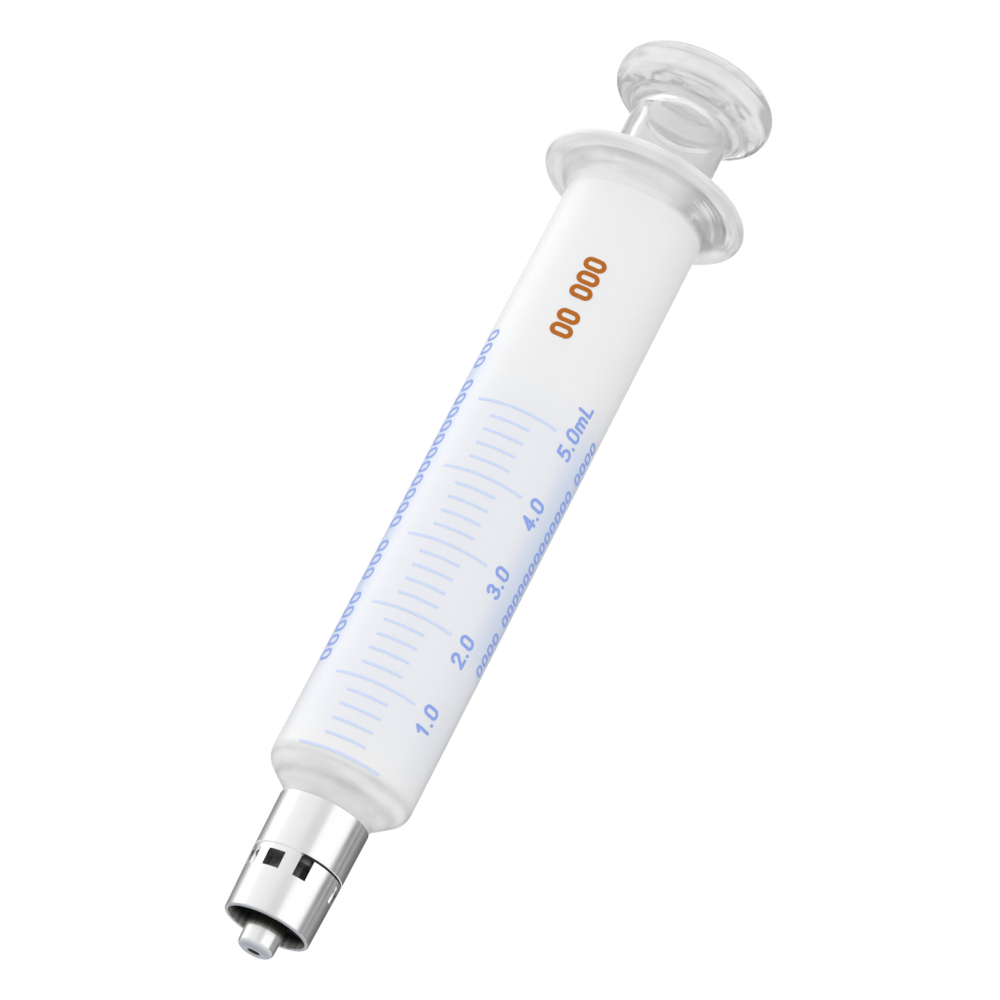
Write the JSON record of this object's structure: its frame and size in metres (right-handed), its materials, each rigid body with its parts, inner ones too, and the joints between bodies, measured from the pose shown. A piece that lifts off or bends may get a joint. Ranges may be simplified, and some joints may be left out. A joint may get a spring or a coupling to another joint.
{
  "type": "glass syringe",
  "caption": "All-glass reusable dosing syringe with a frosted graduated barrel, a hollow glass plunger and a plated metal Luer-lock tip.",
  "frame": {"origin": "centre of the Luer cone's end face, on the syringe's axis", "axes": "+Z along the syringe's axis from the cone's end towards the plunger's knob; the printed scale faces -Y; +X is to the right of a reader of the scale"},
  "size_m": [0.0234, 0.0234, 0.1107],
  "materials": {
    "frosted_glass": "ground frosted barrel, clear flange",
    "clear_glass": "clear, fire polished",
    "plated_metal": "bright nickel plate on turned brass",
    "cement": "dull set cement",
    "blue_enamel": "fired pale blue enamel",
    "brown_enamel": "fired brown enamel"
  },
  "bodies": {
    "barrel": {"barrel": "frosted_glass", "tip_hub": "plated_metal", "luer_cone": "plated_metal", "lock_collar": "plated_metal", "nozzle_cement": "cement", "scale_long_marks": "blue_enamel", "scale_short_marks": "blue_enamel", "scale_numerals": "blue_enamel", "side_lettering": "blue_enamel", "pairing_mark": "brown_enamel"},
    "plunger": {"plunger": "clear_glass"}
  },
  "joints": [
    {"name": "plunger_slide", "type": "slide", "parent": "barrel", "child": "plunger", "axis": [0, 0, 1], "range_m": [0, 0.055]}
  ]
}
